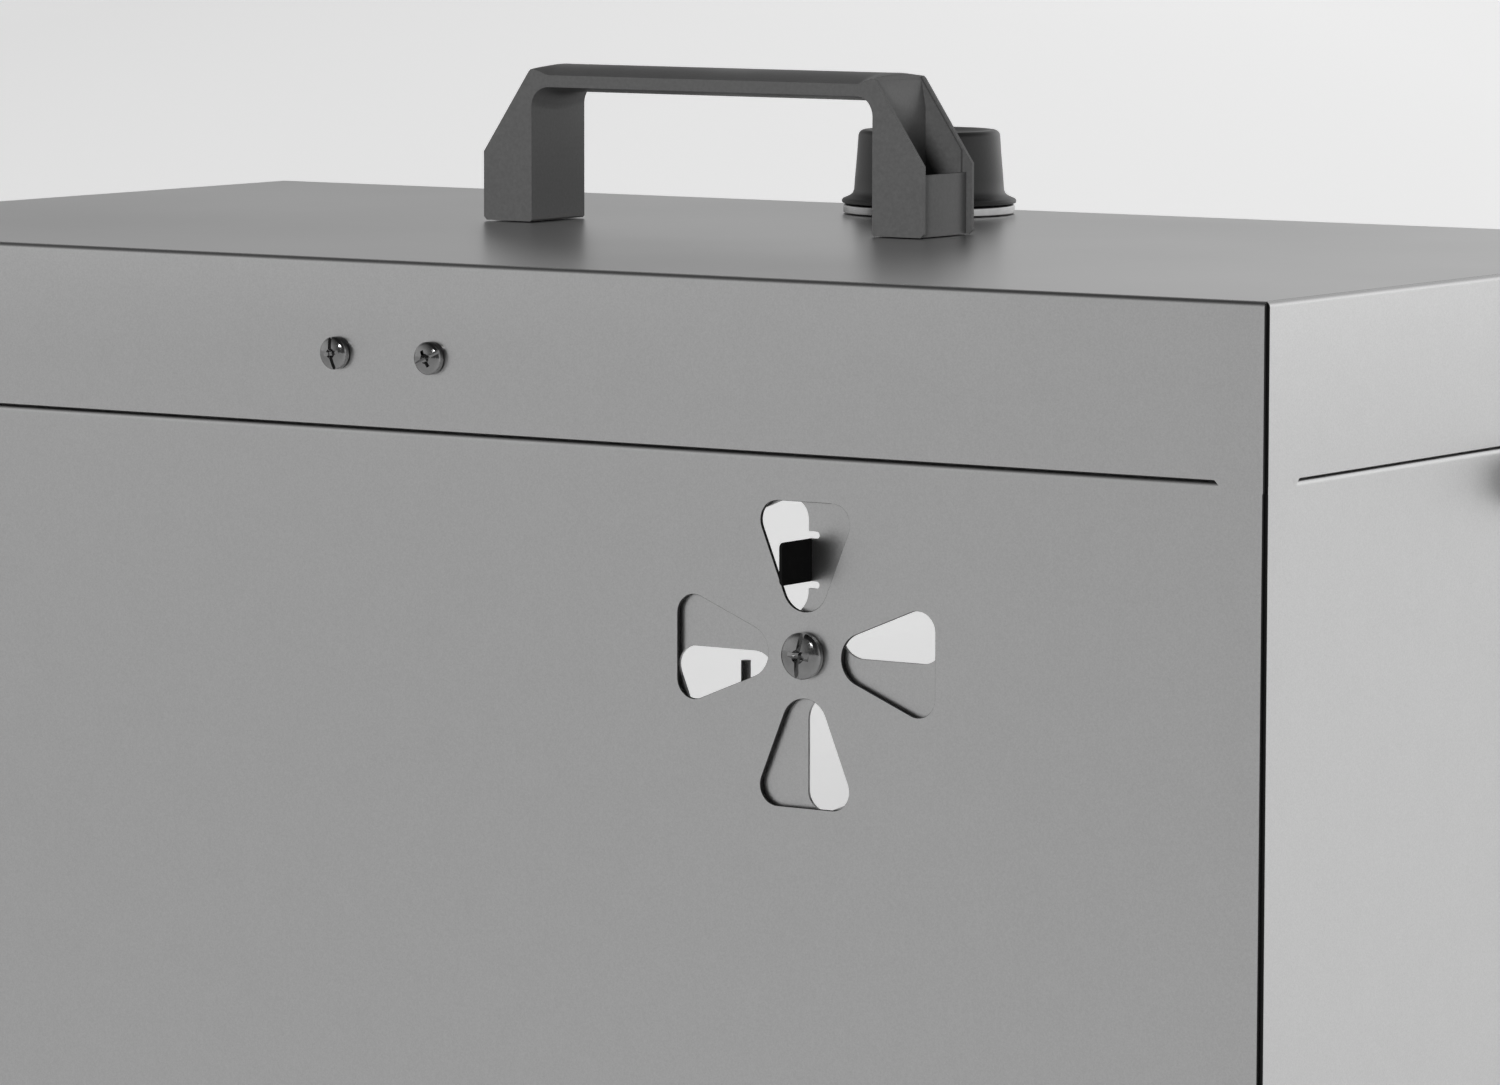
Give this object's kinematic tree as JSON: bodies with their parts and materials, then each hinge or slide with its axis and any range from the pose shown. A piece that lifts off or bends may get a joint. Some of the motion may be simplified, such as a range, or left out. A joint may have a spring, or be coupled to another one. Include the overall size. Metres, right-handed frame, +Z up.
{
  "type": "fan-ventilated cabinet",
  "caption": "Sheet-steel box with an axial fan, four-petal air damper, clear latched door, carry handle and speed knob.",
  "frame": {"origin": "middle of the whole object's box, on the floor that the feet stand on", "axes": "+X along the cabinet towards the cable gland, the damper wall faces -Y and the door +Y, +Z up"},
  "size_m": [0.5032, 0.291, 0.4013],
  "materials": {
    "satin_steel": "satin, fine grained",
    "handle_plastic": "satin moulded, dark grey",
    "knob_plastic": "satin moulded, dark grey",
    "black_plastic": "moulded, black",
    "bright_zinc": "bright zinc plate",
    "turned_aluminium": "turned, bright",
    "cast_aluminium": "die cast, black coated",
    "rubber": "matte",
    "board": "solder resist",
    "clear_acrylic": "clear, polished"
  },
  "bodies": {
    "cabinet": {"hood": "satin_steel", "damper_wall": "satin_steel", "door_wall": "satin_steel", "right_wall": "satin_steel", "left_wall": "satin_steel", "bottom_pan": "satin_steel", "deck_plate": "satin_steel", "air_baffle": "satin_steel", "carry_handle": "handle_plastic", "handle_screw_left": "bright_zinc", "handle_screw_right": "bright_zinc", "knob_bezel": "turned_aluminium", "speed_control": "black_plastic", "control_nut": "bright_zinc", "hood_screw_left": "bright_zinc", "hood_screw_right": "bright_zinc", "control_bracket": "satin_steel", "circuit_board": "board", "terminal_block": "black_plastic", "damper_screw": "bright_zinc", "damper_washer": "bright_zinc", "damper_nut": "bright_zinc", "fan_frame": "cast_aluminium", "fan_motor": "cast_aluminium", "fan_guard": "bright_zinc", "cable_gland": "black_plastic", "gland_nut": "black_plastic", "hinge_leaf_fixed_upper": "bright_zinc", "hinge_leaf_fixed_lower": "bright_zinc", "hinge_pin_upper": "bright_zinc", "hinge_pin_lower": "bright_zinc", "corner_post_front_right": "satin_steel", "rubber_foot_front_right": "rubber", "foot_screw_front_right": "bright_zinc", "corner_post_front_left": "satin_steel", "rubber_foot_front_left": "rubber", "foot_screw_front_left": "bright_zinc", "corner_post_back_right": "satin_steel", "rubber_foot_back_right": "rubber", "foot_screw_back_right": "bright_zinc", "corner_post_back_left": "satin_steel", "rubber_foot_back_left": "rubber", "foot_screw_back_left": "bright_zinc", "fan_screw_left_lower": "bright_zinc", "fan_screw_left_upper": "bright_zinc", "fan_screw_right_lower": "bright_zinc", "fan_screw_right_upper": "bright_zinc"},
    "impeller": {"impeller": "black_plastic"},
    "damper": {"damper_disc": "satin_steel"},
    "speed_knob": {"control_knob": "knob_plastic", "control_shaft": "turned_aluminium"},
    "door": {"door_pane": "clear_acrylic", "hinge_leaf_door_upper": "bright_zinc", "hinge_leaf_door_lower": "bright_zinc"},
    "latch": {"latch_lever": "black_plastic", "latch_spindle": "bright_zinc", "latch_blade": "bright_zinc"}
  },
  "joints": [
    {"name": "impeller_spin", "type": "hinge", "parent": "cabinet", "child": "impeller", "pos_m": [-0.22535, -0.00145, 0.165], "axis": [1, 0, 0], "continuous": true},
    {"name": "damper_turn", "type": "hinge", "parent": "cabinet", "child": "damper", "pos_m": [0.11155, -0.13245, 0.2725], "axis": [0, -1, 0], "range_deg": [-18.5, 21]},
    {"name": "knob_turn", "type": "hinge", "parent": "cabinet", "child": "speed_knob", "pos_m": [-0.00565, 0.10305, 0.36], "axis": [0, 0, 1], "range_deg": [-140, 140]},
    {"name": "door_swing", "type": "hinge", "parent": "cabinet", "child": "door", "pos_m": [0.21835, 0.13835, 0.18], "axis": [0, 0, -1], "range_deg": [0, 160]},
    {"name": "latch_turn", "type": "hinge", "parent": "door", "child": "latch", "pos_m": [-0.09005, 0.13605, 0.196], "axis": [0, -1, 0], "range_deg": [-90, 0]}
  ]
}
